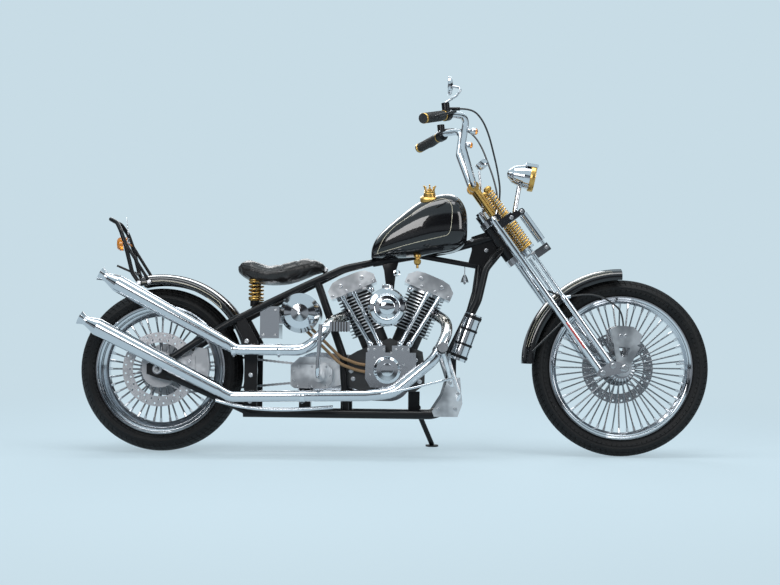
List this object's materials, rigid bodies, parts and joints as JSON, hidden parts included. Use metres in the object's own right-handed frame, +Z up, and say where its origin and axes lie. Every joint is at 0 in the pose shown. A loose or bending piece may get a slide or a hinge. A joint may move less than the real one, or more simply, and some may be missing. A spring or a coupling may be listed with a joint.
{
  "type": "chopper motorcycle",
  "caption": "Chopper motorcycle with a rigid tube frame, air-cooled V-twin engine, sprung girder fork, wire wheels and side stand.",
  "frame": {"origin": "centre of the bounding box at ground level", "axes": "+X forwards, +Y to the motorcycle's left, +Z up from the ground; it leans 4 degrees to its left on the side stand"},
  "size_m": [2.4523, 0.8166, 1.4548],
  "materials": {
    "frame_black": "satin",
    "gloss_black": "gloss",
    "chrome": "polished",
    "gold": "polished",
    "engine_black": "wrinkle painted",
    "aluminium": "satin",
    "steel": "brushed",
    "rubber": "matte",
    "tyre": "matte",
    "leather": "padded",
    "lens": "clear",
    "amber": "tinted",
    "hose_brown": "satin"
  },
  "bodies": {
    "frame": {"rear_axle": "chrome", "frame_backbone": "frame_black", "frame_cradle": "frame_black", "rear_stays": "frame_black", "crankcase": "engine_black", "cylinders": "engine_black", "rocker_covers": "aluminium", "timing_cover": "chrome", "air_cleaner": "chrome", "gearbox": "aluminium", "kick_arm": "chrome", "primary_cover": "chrome", "drive_chain": "steel", "fuel_tank": "gloss_black", "tank_cap": "gold", "oil_tank": "chrome", "seat": "leather", "seat_springs": "gold", "rear_fender": "gloss_black", "sissy_bar": "frame_black", "tail_lamp": "amber", "exhaust_upper": "chrome", "exhaust_lower": "chrome", "foot_controls": "aluminium", "oil_filter": "chrome", "oil_lines": "hose_brown", "rear_caliper": "aluminium"},
    "steering": {"rigid_fork": "chrome", "spring_legs": "chrome", "fork_springs": "gold", "fork_rockers": "chrome", "front_axle": "chrome", "front_caliper": "chrome", "damper": "chrome", "handlebar": "chrome", "risers": "gold", "grips": "rubber", "hand_controls": "frame_black", "mirror": "chrome", "headlight": "chrome", "headlight_lens": "lens", "front_fender": "gloss_black", "throttle_cable": "rubber", "clutch_cable": "rubber", "brake_hose": "rubber"},
    "front_wheel": {"front_tyre": "tyre", "front_rim": "chrome", "front_disc": "steel"},
    "rear_wheel": {"rear_tyre": "tyre", "rear_rim": "chrome", "rear_disc": "steel", "rear_sprocket": "steel"},
    "side_stand": {"side_stand": "frame_black"}
  },
  "joints": [
    {"name": "steer", "type": "hinge", "parent": "frame", "child": "steering", "pos_m": [0.37257, -0.02651, 0.87947], "axis": [-0.5842, 0.0566, 0.8096], "range_deg": [-30, 30]},
    {"name": "front_wheel_spin", "type": "hinge", "parent": "steering", "child": "front_wheel", "pos_m": [0.88125, -0.06392, 0.34438], "axis": [0, 0.9976, -0.0698], "continuous": true},
    {"name": "rear_wheel_spin", "type": "hinge", "parent": "frame", "child": "rear_wheel", "pos_m": [-0.90875, -0.06584, 0.31695], "axis": [0, 0.9976, -0.0698], "continuous": true},
    {"name": "stand_fold", "type": "hinge", "parent": "frame", "child": "side_stand", "pos_m": [0.09125, 0.09559, 0.1598], "axis": [0.1111, 0.8721, 0.4766], "range_deg": [0, 107.4]}
  ]
}
